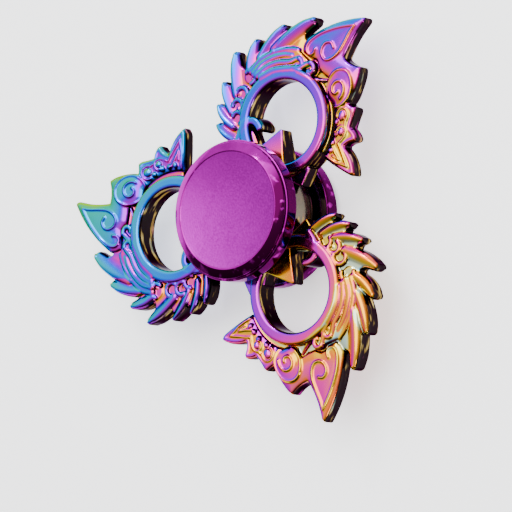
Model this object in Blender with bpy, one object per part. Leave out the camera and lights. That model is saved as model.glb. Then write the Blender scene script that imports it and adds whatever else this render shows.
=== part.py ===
"""Three-armed fidget spinner: a winged zinc casting that turns on a small ball bearing between two caps.

The origin is on the spin axis at the middle of the bearing, +Z is the spin axis towards the front cap, and
+Y runs through the middle of the first wing's ring. Sizes are in millimetres until a mesh is made.
"""

import math

import bmesh
import bpy
from mathutils import Matrix, Vector

MM = 0.001

# Bearing
BEARING_BORE_R = 3.175
BEARING_OUTER_R = 6.35
BEARING_WIDTH = 4.762
BALL_R = 1.0
BALL_COUNT = 10
RACE_DEPTH = 0.4
RACE_GAP = 0.07
CAGE_GAP = 0.18
CAGE_BASE = 0.5
POCKET_GAP = 0.12

# Clearances between pieces
SEAT_GAP = 0.1
THREAD_GAP = 0.1
CAP_CLEARANCE = 0.9

# Hub
HUB_WALL = 2.2
HUB_SHOULDER = 0.5
SHOULDER_REACH = 0.75
LOCK_RING_WALL = 0.5
EDGE = 0.2

# Caps, their posts and what joins them
CAP_R = 10.7
CAP_HEIGHT = 3.4
CAP_WALL = 2.4
CAP_SHOULDER_IN = 0.35
RIDGE_INSET = 1.7
RIDGE_LAND = 0.45
DISH_DEPTH = 0.75
DISH_SHARES = (0.4, 0.72, 0.9)
SHOULDER_TURNS = (55, 20)
WASHER_THICKNESS = 0.45
WASHER_WALL = 0.95
POST_GAP = 0.4
STUD_R = 1.25
STUD_LENGTH = 8.4
STUD_END_GAP = 0.2

# Wings
ARM_COUNT = 3
RING_HOLE_R = 6.4
RING_BAND = 1.9
RING_THICKNESS = 4.2
RING_ROUND = 0.55
HUB_IN_HOLE = 0.1
WING_THICKNESS = 2.4
MANE_THICKNESS = 3.2
TIP_WIDTH = 0.5

# Ear: the wedge on the hub that points into each ring
EAR_HEIGHT = 5.2
EAR_HALF_BASE = 3.3
EAR_THICKNESS = 2.5

# Hook: the curl inside each ring, as turn about the ring's centre and depth inside the hole's edge
HOOK_WIDTH = 1.3
HOOK_THICKNESS = 3.0
HOOK_PATH = (
    (216.0, -2.1),
    (209.0, -1.55),
    (202.6, -0.75),
    (198.4, 0.05),
    (198.8, 0.8),
    (203.4, 1.5),
    (209.5, 1.9),
)

# Wing outline: each row is a blade or feather, anticlockwise, as turns about the ring's centre and heights
# above the ring's edge: tip, the notch after it, and how far the edges up to the tip and down from it swell.
WING_START = (-16.0, 1.0)
WING_TIPS = (
    ((-11.3, 7.4), (2.1, 3.7), 0.02, 0.1),
    ((8.5, 5.45), (16.2, 4.0), -0.1, 0.1),
    ((28.8, 4.85), (33.8, 3.6), 0.0, -0.05),
    ((51.1, 7.3), (63.7, 5.7), 0.06, -0.08),
    ((68.8, 12.5), (97.0, 4.8), -0.05, 0.07),
    ((95.8, 7.6), (116.7, 4.1), -0.12, 0.12),
    ((116.2, 6.4), (139.0, 3.5), -0.12, 0.13),
    ((137.2, 5.8), (154.8, 3.8), -0.14, 0.14),
    ((154.2, 6.6), (170.0, 3.8), -0.1, 0.12),
    ((173.6, 5.5), (184.3, 3.2), -0.06, 0.12),
    ((188.1, 5.0), (197.8, 3.0), -0.05, 0.12),
    ((201.8, 4.6), (218.0, 1.0), -0.04, 0.12),
)
MANE_START = 88.0
MANE_END = 178.0
MANE_HEIGHT = 3.1
MANE_TAPER = 0.12

# Facets
FINE = 48
COARSE = 36
STUD_SEGMENTS = 24
BALL_SEGMENTS = 14
BALL_RINGS = 8
POCKET_SEGMENTS = 16
POCKET_RINGS = 8
GROOVE_STEPS = 8
ROUND_STEPS = 2
EDGE_STEPS = 4
BACK_STEPS = 18
MANE_STEPS = 10
SHARP_ANGLE = 32

# Sizes that follow from the ones above
PITCH_R = (BEARING_BORE_R + BEARING_OUTER_R) / 2
BEARING_HALF = BEARING_WIDTH / 2
GROOVE_R = BALL_R + RACE_GAP
INNER_LAND_R = PITCH_R - BALL_R + RACE_DEPTH
OUTER_LAND_R = PITCH_R + BALL_R - RACE_DEPTH
HUB_R = BEARING_OUTER_R + HUB_WALL
POCKET_R = BEARING_OUTER_R + SEAT_GAP
HUB_HALF = BEARING_HALF + SEAT_GAP + HUB_SHOULDER
LIP_R = BEARING_OUTER_R - SHOULDER_REACH
LOCK_RING_R = POCKET_R + LOCK_RING_WALL
CAP_FLOOR = HUB_HALF + CAP_CLEARANCE
CAP_TOP = CAP_FLOOR + CAP_HEIGHT
RIDGE_R = CAP_R - RIDGE_INSET
POST_R = BEARING_BORE_R - SEAT_GAP
WASHER_LOW = BEARING_HALF + SEAT_GAP
WASHER_HIGH = WASHER_LOW + WASHER_THICKNESS
WASHER_BORE_R = POST_R + SEAT_GAP
WASHER_R = WASHER_BORE_R + WASHER_WALL
BOSS_LOW = WASHER_HIGH + SEAT_GAP
RING_EDGE_R = RING_HOLE_R + RING_BAND
RING_Y = HUB_R + RING_HOLE_R - HUB_IN_HOLE
BAND_MIDDLE = -RING_BAND / 2
MANE_ROOT = -RING_BAND / 4


def clear_scene():
    for old in list(bpy.data.objects):
        bpy.data.objects.remove(old, do_unlink=True)


def make_material(name, colour, metallic, roughness):
    material = bpy.data.materials.new(name)
    material.use_nodes = True
    shader = material.node_tree.nodes["Principled BSDF"]
    shader.inputs["Base Color"].default_value = (*colour, 1.0)
    shader.inputs["Metallic"].default_value = metallic
    shader.inputs["Roughness"].default_value = roughness
    return material


def finish_mesh(bm, name):
    """Turns a bmesh in millimetres into a closed mesh in metres with its faces pointing out."""
    bmesh.ops.scale(bm, vec=(MM, MM, MM), verts=bm.verts)
    bmesh.ops.recalc_face_normals(bm, faces=bm.faces)
    mesh = bpy.data.meshes.new(name)
    bm.to_mesh(mesh)
    bm.free()
    return mesh


def add_object(name, mesh, material=None, parent=None):
    piece = bpy.data.objects.new(name, mesh)
    bpy.context.collection.objects.link(piece)
    if material:
        mesh.materials.append(material)
    mesh.shade_smooth()
    mesh.set_sharp_from_angle(angle=math.radians(SHARP_ANGLE))
    piece.parent = parent
    return piece


def add_pivot(name):
    """An empty on the spin axis, which the pieces of one body hang from."""
    pivot = bpy.data.objects.new(name, None)
    bpy.context.collection.objects.link(pivot)
    return pivot


def turned_mesh(name, profile, segments):
    """Turns a closed outline of (radius, height) points about the Z axis."""
    bm = bmesh.new()
    rings = []
    for radius, height in profile:
        if radius == 0:
            rings.append([bm.verts.new((0, 0, height))])
            continue
        turns = [2 * math.pi * i / segments for i in range(segments)]
        rings.append([bm.verts.new((radius * math.cos(a), radius * math.sin(a), height)) for a in turns])
    for low, high in zip(rings, rings[1:] + rings[:1]):
        if len(low) == 1 and len(high) == 1:
            continue
        for i in range(segments):
            j = (i + 1) % segments
            if len(low) == 1:
                bm.faces.new((low[0], high[j], high[i]))
            elif len(high) == 1:
                bm.faces.new((low[i], low[j], high[0]))
            else:
                bm.faces.new((low[i], low[j], high[j], high[i]))
    return finish_mesh(bm, name)


def arc(centre, radius, start, end, steps):
    """Points on an arc, from one turn in degrees to another."""
    turns = [math.radians(start + (end - start) * i / steps) for i in range(steps + 1)]
    return [(centre[0] + radius * math.cos(a), centre[1] + radius * math.sin(a)) for a in turns]


def slab_mesh(name, outline, thickness):
    """Extrudes a flat outline by the same amount to both sides of the middle plane."""
    bm = bmesh.new()
    low = [bm.verts.new((x, y, -thickness / 2)) for x, y in outline]
    high = [bm.verts.new((x, y, thickness / 2)) for x, y in outline]
    for i in range(len(outline)):
        j = (i + 1) % len(outline)
        bm.faces.new((low[i], low[j], high[j], high[i]))
    caps = [bm.faces.new(low[::-1]), bm.faces.new(high)]
    bmesh.ops.triangulate(bm, faces=caps, ngon_method="EAR_CLIP")
    return finish_mesh(bm, name)


def combine(base, others, operation):
    """Joins or cuts a base object with others and returns the closed mesh; the objects are removed."""
    group = bpy.data.collections.new("operands")
    bpy.context.scene.collection.children.link(group)
    for other in others:
        group.objects.link(other)
    step = base.modifiers.new(operation, "BOOLEAN")
    step.operation = operation
    step.solver = "EXACT"
    step.operand_type = "COLLECTION"
    step.collection = group
    graph = bpy.context.evaluated_depsgraph_get()
    graph.update()
    mesh = bpy.data.meshes.new_from_object(base.evaluated_get(graph))
    for used in [base, *others]:
        bpy.data.objects.remove(used, do_unlink=True)
    bpy.data.collections.remove(group)
    mesh.materials.clear()
    return mesh


def from_ring(turn, height):
    """A point by its turn about the first ring's centre and its height above the ring's outer edge."""
    radius = RING_EDGE_R + height
    return Vector((radius * math.cos(math.radians(turn)), RING_Y + radius * math.sin(math.radians(turn))))


def swollen_edge(start, end, swell):
    """Points from start up to end, bowed to the right of the way there by a share of the length."""
    along = end - start
    bow = (start + end) / 2 + Vector((along.y, -along.x)) * swell * 2
    points = []
    for i in range(EDGE_STEPS):
        t = i / EDGE_STEPS
        points.append(start * (1 - t) ** 2 + bow * 2 * t * (1 - t) + end * t**2)
    return points


def wing_outline():
    """The blades and feathers, closed along the middle of the ring's band."""
    points = []
    notch = from_ring(*WING_START)
    for tip, next_notch, swell_up, swell_down in WING_TIPS:
        up_from = notch
        peak = from_ring(*tip)
        notch = from_ring(*next_notch)
        across = (notch - up_from).normalized() * TIP_WIDTH / 2
        points += swollen_edge(up_from, peak - across, swell_up)
        points += swollen_edge(peak + across, notch, swell_down)
    points.append(notch)
    first_turn = WING_START[0]
    last_turn = WING_TIPS[-1][1][0]
    swept = last_turn - first_turn
    back = [from_ring(last_turn - swept * i / BACK_STEPS, BAND_MIDDLE) for i in range(BACK_STEPS + 1)]
    return points + back


def mane_outline():
    """The crescent that stands proud between the ring and the feathers."""
    outer = []
    inner = []
    for i in range(MANE_STEPS + 1):
        share = i / MANE_STEPS
        turn = MANE_START + (MANE_END - MANE_START) * share
        swell = math.sin(math.pi * (MANE_TAPER + (1 - 2 * MANE_TAPER) * share))
        outer.append(from_ring(turn, MANE_HEIGHT * swell))
        inner.append(from_ring(turn, MANE_ROOT))
    return outer + inner[::-1]


def band_outline(path, width):
    """A flat band of one width along a path, square at both ends."""
    left = []
    right = []
    for i, point in enumerate(path):
        ahead = path[min(i + 1, len(path) - 1)]
        behind = path[max(i - 1, 0)]
        along = (ahead - behind).normalized()
        side = Vector((-along.y, along.x)) * width / 2
        left.append(point + side)
        right.append(point - side)
    return left + right[::-1]


def ear_outline():
    """The wedge from inside the hub's wall up to its point in the ring."""
    foot = HUB_R - HUB_WALL / 2
    half_foot = EAR_HALF_BASE * (EAR_HEIGHT + HUB_WALL / 2) / EAR_HEIGHT
    half_tip = TIP_WIDTH / 2
    peak = HUB_R + EAR_HEIGHT
    return [(half_foot, foot), (half_tip, peak), (-half_tip, peak), (-half_foot, foot)]


def hook_outline():
    path = [from_ring(turn, -RING_BAND - depth) for turn, depth in HOOK_PATH]
    return band_outline(path, HOOK_WIDTH)


def ring_profile():
    """The ring's rounded section, about its own centre."""
    half = RING_THICKNESS / 2
    inner = RING_HOLE_R
    outer = RING_EDGE_R
    corners = (
        ((outer - RING_ROUND, -half + RING_ROUND), -90, 0),
        ((outer - RING_ROUND, half - RING_ROUND), 0, 90),
        ((inner + RING_ROUND, half - RING_ROUND), 90, 180),
        ((inner + RING_ROUND, -half + RING_ROUND), 180, 270),
    )
    profile = []
    for centre, start, end in corners:
        profile += arc(centre, RING_ROUND, start, end, ROUND_STEPS)
    return profile


def hub_profile():
    """The hub before it is bored."""
    return [
        (0, -HUB_HALF),
        (HUB_R - EDGE, -HUB_HALF),
        (HUB_R, -HUB_HALF + EDGE),
        (HUB_R, HUB_HALF - EDGE),
        (HUB_R - EDGE, HUB_HALF),
        (0, HUB_HALF),
    ]


def bore_profile():
    """What is bored out of the hub: its lip's opening and the pockets for the bearing and lock ring."""
    past_face = HUB_HALF + RING_THICKNESS
    lip_top = -BEARING_HALF - SEAT_GAP
    return [
        (0, -past_face),
        (LIP_R, -past_face),
        (LIP_R, lip_top),
        (POCKET_R, lip_top),
        (POCKET_R, BEARING_HALF),
        (LOCK_RING_R, BEARING_HALF),
        (LOCK_RING_R, past_face),
        (0, past_face),
    ]


def rotor_casting(material, parent):
    """The hub and the wings, one casting, then bored for the bearing."""
    hub = add_object("hub_blank", turned_mesh("hub", hub_profile(), FINE))
    solids = []
    for arm in range(ARM_COUNT):
        turn = Matrix.Rotation(2 * math.pi * arm / ARM_COUNT, 4, "Z")
        ring = turned_mesh("ring", ring_profile(), COARSE)
        ring.transform(Matrix.Translation((0, RING_Y * MM, 0)))
        meshes = (
            ring,
            slab_mesh("wing", wing_outline(), WING_THICKNESS),
            slab_mesh("mane", mane_outline(), MANE_THICKNESS),
            slab_mesh("hook", hook_outline(), HOOK_THICKNESS),
            slab_mesh("ear", ear_outline(), EAR_THICKNESS),
        )
        for mesh in meshes:
            mesh.transform(turn)
            solids.append(add_object(f"{mesh.name}_{arm}", mesh))
    blank = add_object("casting_blank", combine(hub, solids, "UNION"))
    bore = add_object("bore", turned_mesh("bore", bore_profile(), FINE))
    add_object("rotor_body", combine(blank, [bore], "DIFFERENCE"), material, parent)


def groove(side):
    """The ball track's arc, low to high, as seen on the inner ring (side 1) or the outer ring (side -1)."""
    drop = PITCH_R - INNER_LAND_R if side > 0 else OUTER_LAND_R - PITCH_R
    half_turn = math.degrees(math.acos(drop / GROOVE_R))
    if side > 0:
        return arc((PITCH_R, 0), GROOVE_R, 180 + half_turn, 180 - half_turn, GROOVE_STEPS)
    return arc((PITCH_R, 0), GROOVE_R, half_turn, -half_turn, GROOVE_STEPS)


def bearing_rings(steel, core, rotor):
    inner = [(BEARING_BORE_R, BEARING_HALF - EDGE), (BEARING_BORE_R, -BEARING_HALF + EDGE)]
    inner += [(BEARING_BORE_R + EDGE, -BEARING_HALF), (INNER_LAND_R, -BEARING_HALF)]
    inner += groove(1)
    inner += [(INNER_LAND_R, BEARING_HALF), (BEARING_BORE_R + EDGE, BEARING_HALF)]
    add_object("bearing_inner_ring", turned_mesh("inner_ring", inner, COARSE), steel, core)
    outer = [(BEARING_OUTER_R, -BEARING_HALF + EDGE), (BEARING_OUTER_R, BEARING_HALF - EDGE)]
    outer += [(BEARING_OUTER_R - EDGE, BEARING_HALF), (OUTER_LAND_R, BEARING_HALF)]
    outer += groove(-1)
    outer += [(OUTER_LAND_R, -BEARING_HALF), (BEARING_OUTER_R - EDGE, -BEARING_HALF)]
    add_object("bearing_outer_ring", turned_mesh("outer_ring", outer, COARSE), steel, rotor)


def ball_place(index):
    turn = 2 * math.pi * index / BALL_COUNT
    return (PITCH_R * math.cos(turn), PITCH_R * math.sin(turn), 0)


def ball_mesh(name, radius, segments, rings):
    bm = bmesh.new()
    bmesh.ops.create_uvsphere(bm, u_segments=segments, v_segments=rings, radius=radius)
    return finish_mesh(bm, name)


def cage_and_balls(cage_metal, ball_steel, cage_pivot):
    """A crown cage with a pocket for each ball, and the balls in it."""
    low = -BALL_R - POCKET_GAP - CAGE_BASE
    high = BALL_R / 2
    inner = INNER_LAND_R + CAGE_GAP
    outer = OUTER_LAND_R - CAGE_GAP
    section = [(inner, low), (outer, low), (outer, high), (inner, high)]
    crown = add_object("crown_blank", turned_mesh("crown", section, COARSE))
    pockets = []
    for index in range(BALL_COUNT):
        pocket = ball_mesh("pocket", BALL_R + POCKET_GAP, POCKET_SEGMENTS, POCKET_RINGS)
        pocket.transform(Matrix.Translation([value * MM for value in ball_place(index)]))
        pockets.append(add_object(f"pocket_{index}", pocket))
    add_object("ball_cage", combine(crown, pockets, "DIFFERENCE"), cage_metal, cage_pivot)
    for index in range(BALL_COUNT):
        mesh = ball_mesh("ball", BALL_R, BALL_SEGMENTS, BALL_RINGS)
        ball = add_object(f"ball_{index + 1:02d}", mesh, ball_steel, cage_pivot)
        ball.location = [value * MM for value in ball_place(index)]


def lock_ring(material, rotor):
    """The threaded ring over the bearing."""
    outer = LOCK_RING_R - THREAD_GAP
    low = BEARING_HALF + SEAT_GAP
    profile = [(LIP_R, low), (outer, low), (outer, HUB_HALF - EDGE)]
    profile += [(outer - EDGE, HUB_HALF), (LIP_R, HUB_HALF)]
    add_object("bearing_lock_ring", turned_mesh("lock_ring", profile, FINE), material, rotor)


def cap_profile():
    """A cap as (radius, height), from its finger dish's middle out over the rim and back along its post."""
    dish_r = RIDGE_R - RIDGE_LAND / 2
    profile = [(0, CAP_TOP - DISH_DEPTH)]
    for share in DISH_SHARES:
        profile.append((dish_r * share, CAP_TOP - DISH_DEPTH * (1 - share**2)))
    profile += [(dish_r, CAP_TOP), (dish_r + RIDGE_LAND, CAP_TOP)]
    step_r = CAP_R - CAP_SHOULDER_IN
    step_top = CAP_FLOOR + CAP_WALL + CAP_SHOULDER_IN / 2
    land_end = dish_r + RIDGE_LAND
    for turn in SHOULDER_TURNS:
        share_out = math.cos(math.radians(turn))
        share_up = math.sin(math.radians(turn))
        radius = land_end + (step_r - land_end) * share_out
        profile.append((radius, step_top + (CAP_TOP - step_top) * share_up))
    profile += [(step_r, CAP_FLOOR + CAP_WALL), (CAP_R, CAP_FLOOR + CAP_WALL)]
    profile += [(CAP_R, CAP_FLOOR + EDGE), (CAP_R - EDGE, CAP_FLOOR)]
    profile += [(WASHER_R, CAP_FLOOR), (WASHER_R, BOSS_LOW), (POST_R, BOSS_LOW)]
    profile += [(POST_R, POST_GAP / 2 + EDGE), (POST_R - EDGE, POST_GAP / 2)]
    bore = STUD_R + THREAD_GAP
    bore_end = STUD_LENGTH / 2 + STUD_END_GAP
    profile += [(bore, POST_GAP / 2), (bore, bore_end), (0, bore_end)]
    return profile


def caps(material, core):
    """The front cap, and the rear cap as its mirror image."""
    add_object("front_cap", turned_mesh("cap", cap_profile(), FINE), material, core)
    mirrored = [(radius, -height) for radius, height in cap_profile()]
    add_object("rear_cap", turned_mesh("cap", mirrored, FINE), material, core)


def stud_and_washers(steel, core):
    half = STUD_LENGTH / 2
    stud = [(0, -half), (STUD_R - EDGE, -half), (STUD_R, -half + EDGE)]
    stud += [(STUD_R, half - EDGE), (STUD_R - EDGE, half), (0, half)]
    add_object("centre_stud", turned_mesh("stud", stud, STUD_SEGMENTS), steel, core)
    for name, side in (("front_washer", 1), ("rear_washer", -1)):
        low, high = side * WASHER_LOW, side * WASHER_HIGH
        section = [(WASHER_BORE_R, low), (WASHER_R, low), (WASHER_R, high), (WASHER_BORE_R, high)]
        add_object(name, turned_mesh("washer", section, COARSE), steel, core)


def main():
    clear_scene()
    zinc = make_material("rainbow_zinc", (0.42, 0.25, 0.75), 1.0, 0.2)
    purple = make_material("purple_aluminium", (0.5, 0.05, 0.5), 1.0, 0.35)
    ring_steel = make_material("bearing_steel", (0.62, 0.62, 0.64), 1.0, 0.2)
    ball_steel = make_material("ball_steel", (0.78, 0.78, 0.8), 1.0, 0.08)
    cage_brass = make_material("cage_brass", (0.7, 0.5, 0.22), 1.0, 0.35)
    screw_steel = make_material("screw_steel", (0.3, 0.3, 0.32), 1.0, 0.4)
    core = add_pivot("core_pivot")
    rotor = add_pivot("rotor_pivot")
    cage_pivot = add_pivot("cage_pivot")
    rotor_casting(zinc, rotor)
    lock_ring(ring_steel, rotor)
    bearing_rings(ring_steel, core, rotor)
    cage_and_balls(cage_brass, ball_steel, cage_pivot)
    caps(purple, core)
    stud_and_washers(screw_steel, core)


main()
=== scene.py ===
"""Looks of the winged fidget spinner: cast relief, rainbow plating, anodised caps and the bearing.

The CAD gives the frame. The rotor casting is shown by a turned hub and three wings, each carved as the level
surface of a distance field. Wing sizes are in millimetres, with the first wing's ring on +Y.
"""

import math

import bmesh
import bpy
import numpy as np
from mathutils import Matrix, Vector


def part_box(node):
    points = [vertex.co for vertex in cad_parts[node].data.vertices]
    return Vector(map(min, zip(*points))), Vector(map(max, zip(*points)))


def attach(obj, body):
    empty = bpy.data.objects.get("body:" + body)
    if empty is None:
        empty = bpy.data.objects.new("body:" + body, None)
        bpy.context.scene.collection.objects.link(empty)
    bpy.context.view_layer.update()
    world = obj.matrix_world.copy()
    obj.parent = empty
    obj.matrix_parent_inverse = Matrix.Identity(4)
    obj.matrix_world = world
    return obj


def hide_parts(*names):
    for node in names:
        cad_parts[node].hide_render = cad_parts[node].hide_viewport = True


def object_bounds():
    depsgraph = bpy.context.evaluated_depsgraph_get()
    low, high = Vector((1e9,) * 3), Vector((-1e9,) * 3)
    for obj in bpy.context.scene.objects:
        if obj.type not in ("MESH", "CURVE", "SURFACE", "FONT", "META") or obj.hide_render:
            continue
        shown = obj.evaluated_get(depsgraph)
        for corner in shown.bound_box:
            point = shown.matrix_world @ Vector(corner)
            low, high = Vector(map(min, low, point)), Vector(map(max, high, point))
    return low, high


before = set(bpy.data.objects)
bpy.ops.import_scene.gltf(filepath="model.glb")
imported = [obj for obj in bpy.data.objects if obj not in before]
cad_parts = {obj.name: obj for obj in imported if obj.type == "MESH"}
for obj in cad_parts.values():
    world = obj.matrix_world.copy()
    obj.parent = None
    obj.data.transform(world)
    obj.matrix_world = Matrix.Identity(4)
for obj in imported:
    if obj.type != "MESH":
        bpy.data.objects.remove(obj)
CAD_LOW, CAD_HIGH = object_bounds()

MM = 0.001

# Sizes read from the frame, in millimetres
CAP_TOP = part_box("front_cap")[1].z / MM
CAP_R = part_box("front_cap")[1].x / MM
BEARING_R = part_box("bearing_outer_ring")[1].x / MM
BEARING_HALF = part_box("bearing_outer_ring")[1].z / MM
HUB_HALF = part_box("bearing_lock_ring")[1].z / MM
LOCK_POCKET_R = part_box("bearing_lock_ring")[1].x / MM + 0.1
WASHER_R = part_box("front_washer")[1].x / MM
WASHER_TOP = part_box("front_washer")[1].z / MM
STUD_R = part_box("centre_stud")[1].x / MM
STUD_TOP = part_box("centre_stud")[1].z / MM
SEAT_GAP = 0.1

# The wing's layout, as in the CAD
ARM_COUNT = 3
HUB_R = BEARING_R + 2.2
RING_HOLE_R = 6.4
RING_BAND = 1.9
RING_EDGE_R = RING_HOLE_R + RING_BAND
RING_Y = HUB_R + RING_HOLE_R - 0.1
RING_HALF = 2.1
WEB_HALF = 0.65
BLADE_HALF = 1.12
EAR_HALF = 1.25
ROOT_R = HUB_R - 1.0
LIP_R = BEARING_R - 0.75

# Blades and feathers, anticlockwise, as turns about the ring's centre and heights above its edge: tip, the
# notch after it, and how far the edges up to the tip and down from it swell.
WING_START = (-16.0, 1.0)
BLADES = (
    ((-11.3, 7.4), (2.1, 3.7), 0.02, 0.1),
    ((8.5, 5.45), (16.2, 4.0), -0.1, 0.1),
    ((28.8, 4.85), (33.8, 3.6), 0.0, -0.05),
    ((51.1, 7.3), (63.7, 5.7), 0.06, -0.08),
    ((68.8, 12.5), (97.0, 4.8), -0.05, 0.07),
)
FEATHERS = (
    ((95.8, 7.6), (116.7, 4.1), -0.12, 0.12),
    ((116.2, 6.4), (139.0, 3.5), -0.12, 0.13),
    ((137.2, 5.8), (154.8, 3.8), -0.14, 0.14),
    ((154.2, 6.6), (170.0, 3.8), -0.1, 0.12),
    ((173.6, 5.5), (184.3, 3.2), -0.06, 0.12),
    ((188.1, 5.0), (197.8, 3.0), -0.05, 0.12),
    ((201.8, 4.6), (218.0, 1.0), -0.04, 0.12),
)
TIP_WIDTH = 0.5
EDGE_STEPS = 10

# Turned pieces
HUB_SEGMENTS = 160
CAP_SEGMENTS = 256
SHARP_ANGLE = math.radians(28)
HUB_ROUND = 0.3
POCKET_CHAMFER = 0.15
LIP_CHAMFER = 0.1

# The caps, with the CAD's height, and a finer rim, slope and step
CAP_HEIGHT = 3.4
RIDGE_INSET = 1.7
RIDGE_LAND = 0.45
DISH_DEPTH = 0.71
DISH_LIP = 0.04
DISH_STEPS = 14
STEP_INSET = 0.35
STEP_HEIGHT = 2.58
SLOPE_DEPTH = 0.2
SLOPE_TURN = 52
CAP_ROUND = 0.4
UNDERCUT = 0.12
POST_INSET = 1.05
POST_END = 0.2
POST_CHAMFER = 0.2
STUD_GAP = 0.1

# The relief field's grid, and the distance it starts with, where there is nothing yet
GRID_STEP = 0.12
EMPTY = 9.0
GRID_LOW = (-15.2, 5.4, -2.52)
GRID_HIGH = (16.8, 36.0, 2.52)


def from_ring(turn, height):
    """A point by its turn about the first ring's centre and its height above the ring's outer edge."""
    radius = RING_EDGE_R + height
    return np.array((radius * math.cos(math.radians(turn)), RING_Y + radius * math.sin(math.radians(turn))))


def swollen_edge(start, end, swell):
    """Points from start up to end, bowed to the right of the way there by a share of the length."""
    along = end - start
    bow = (start + end) / 2 + np.array((along[1], -along[0])) * swell * 2
    shares = np.arange(EDGE_STEPS)[:, None] / EDGE_STEPS
    return start * (1 - shares) ** 2 + bow * 2 * shares * (1 - shares) + end * shares**2


def spikes_outline(start, rows, inner):
    """The outline of a run of blades or feathers, closed by inner, a list of points from last to first."""
    parts = []
    notch = start
    for tip, next_notch, swell_up, swell_down in rows:
        up_from = notch
        peak = from_ring(*tip)
        notch = from_ring(*next_notch)
        across = notch - up_from
        across = across / np.linalg.norm(across) * TIP_WIDTH / 2
        parts.append(swollen_edge(up_from, peak - across, swell_up))
        parts.append(swollen_edge(peak + across, notch, swell_down))
    parts.append(notch[None])
    parts.append(np.array(inner))
    return np.vstack(parts)


def below(value, blend):
    """A soft step from 1 where value is below zero to 0 where it is above."""
    return 1 / (1 + np.exp(value / blend))


def hump(value, width):
    """A smooth hump: 1 where value is zero, fading over width to each side."""
    return np.exp(-((value / width) ** 2))


def smooth_curve(points, steps=8):
    """A curve through every point, with soft bends."""
    points = np.array(points, float)
    padded = np.vstack([2 * points[0] - points[1], points, 2 * points[-1] - points[-2]])
    pieces = []
    for before, a, b, after in zip(padded, padded[1:], padded[2:], padded[3:]):
        for t in np.arange(steps) / steps:
            pieces.append(
                0.5
                * (
                    2 * a
                    + (b - before) * t
                    + (2 * before - 5 * a + 4 * b - after) * t**2
                    + (3 * a - before - 3 * b + after) * t**3
                )
            )
    pieces.append(points[-1])
    return np.array(pieces)


def spiral(centre, first, last, start, end, stretch=1.0, steps=40):
    """A flat spiral from one radius and turn to another, stretched along Y."""
    shares = np.linspace(0, 1, steps)
    radii = first + (last - first) * shares
    turns = np.radians(start + (end - start) * shares)
    return np.stack([centre[0] + radii * np.cos(turns), centre[1] + radii * np.sin(turns) * stretch], axis=1)


class Patch:
    """A rectangle of the grid's columns, on which one feature of the relief is worked out."""

    def __init__(self, points, margin):
        low = np.array(points).min(axis=0) - margin
        high = np.array(points).max(axis=0) + margin
        self.span = []
        axes = []
        for axis in range(2):
            count = int(round((GRID_HIGH[axis] - GRID_LOW[axis]) / GRID_STEP)) + 1
            first = max(0, int((low[axis] - GRID_LOW[axis]) / GRID_STEP))
            last = min(count, int((high[axis] - GRID_LOW[axis]) / GRID_STEP) + 2)
            self.span.append(slice(first, last))
            axes.append(GRID_LOW[axis] + GRID_STEP * np.arange(first, last))
        self.x, self.y = np.meshgrid(*axes, indexing="ij")

    def to_path(self, path):
        """Distance to a path, the share of it passed where it is nearest, and the distance to its left."""
        best = np.full(self.x.shape, 1e9)
        share = np.zeros(self.x.shape)
        left = np.zeros(self.x.shape)
        count = len(path) - 1
        for i in range(count):
            ax, ay = path[i]
            dx, dy = path[i + 1] - path[i]
            length = max(dx * dx + dy * dy, 1e-12)
            t = np.clip(((self.x - ax) * dx + (self.y - ay) * dy) / length, 0, 1)
            away = np.hypot(self.x - ax - t * dx, self.y - ay - t * dy)
            nearer = away < best
            best = np.where(nearer, away, best)
            share = np.where(nearer, (i + t) / count, share)
            cross = dx * (self.y - ay) - dy * (self.x - ax)
            left = np.where(nearer, np.sign(cross) * away, left)
        return best, share, left

    def to_outline(self, outline):
        """Signed distance to a closed outline, negative inside."""
        closed = np.vstack([outline, outline[:1]])
        away, _, _ = self.to_path(closed)
        inside = np.zeros(self.x.shape, bool)
        for (ax, ay), (bx, by) in zip(closed, closed[1:]):
            if ay == by:
                continue
            meets = (bx - ax) * (self.y - ay) / (by - ay) + ax
            inside ^= ((ay > self.y) != (by > self.y)) & (self.x < meets)
        return np.where(inside, -away, away)


def blurred(values, sigma):
    """A Gaussian blur of a patch, in millimetres, which rounds its corners."""
    reach = max(1, int(3 * sigma / GRID_STEP))
    offsets = np.arange(-reach, reach + 1) * GRID_STEP
    weights = np.exp(-0.5 * (offsets / sigma) ** 2)
    weights /= weights.sum()
    for axis in range(2):
        padding = [(reach, reach) if a == axis else (0, 0) for a in range(2)]
        wide = np.pad(values, padding, mode="reflect", reflect_type="odd")
        size = values.shape[axis]
        values = sum(w * np.take(wide, range(i, i + size), axis=axis) for i, w in enumerate(weights))
    return values


class Relief:
    """The wing's distance field, built up feature by feature on one grid."""

    def __init__(self):
        counts = [int(round((high - low) / GRID_STEP)) + 1 for low, high in zip(GRID_LOW, GRID_HIGH)]
        self.field = np.full(counts, EMPTY, np.float32)
        self.height = np.abs(GRID_LOW[2] + GRID_STEP * np.arange(counts[2]))
        self.shift = np.zeros(counts[:2])

    def tint(self, patch, where, shift):
        """Sets how far the film's colour is shifted on one feature."""
        block = self.shift[patch.span[0], patch.span[1]]
        block[:] = np.where(where, shift, block)

    def add(self, patch, inside, half, rounding, fillet=0.12):
        """Adds a slab: inside is its plan distance, half its half thickness, rounding its edge radius."""
        block = self.field[patch.span[0], patch.span[1]]
        half = np.broadcast_to(half, inside.shape)
        up = self.height[None, None] - half[..., None] + rounding
        out = inside[..., None] + rounding
        corner = np.hypot(np.maximum(up, 0), np.maximum(out, 0))
        slab = np.minimum(np.maximum(up, out), 0) + corner - rounding
        mix = np.clip(0.5 + 0.5 * (block - slab) / fillet, 0, 1)
        block[:] = block * (1 - mix) + slab * mix - fillet * mix * (1 - mix)

    def cut(self, patch, outside):
        """Takes away everything where outside is above zero."""
        block = self.field[patch.span[0], patch.span[1]]
        block[:] = np.maximum(block, outside[..., None])


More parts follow.
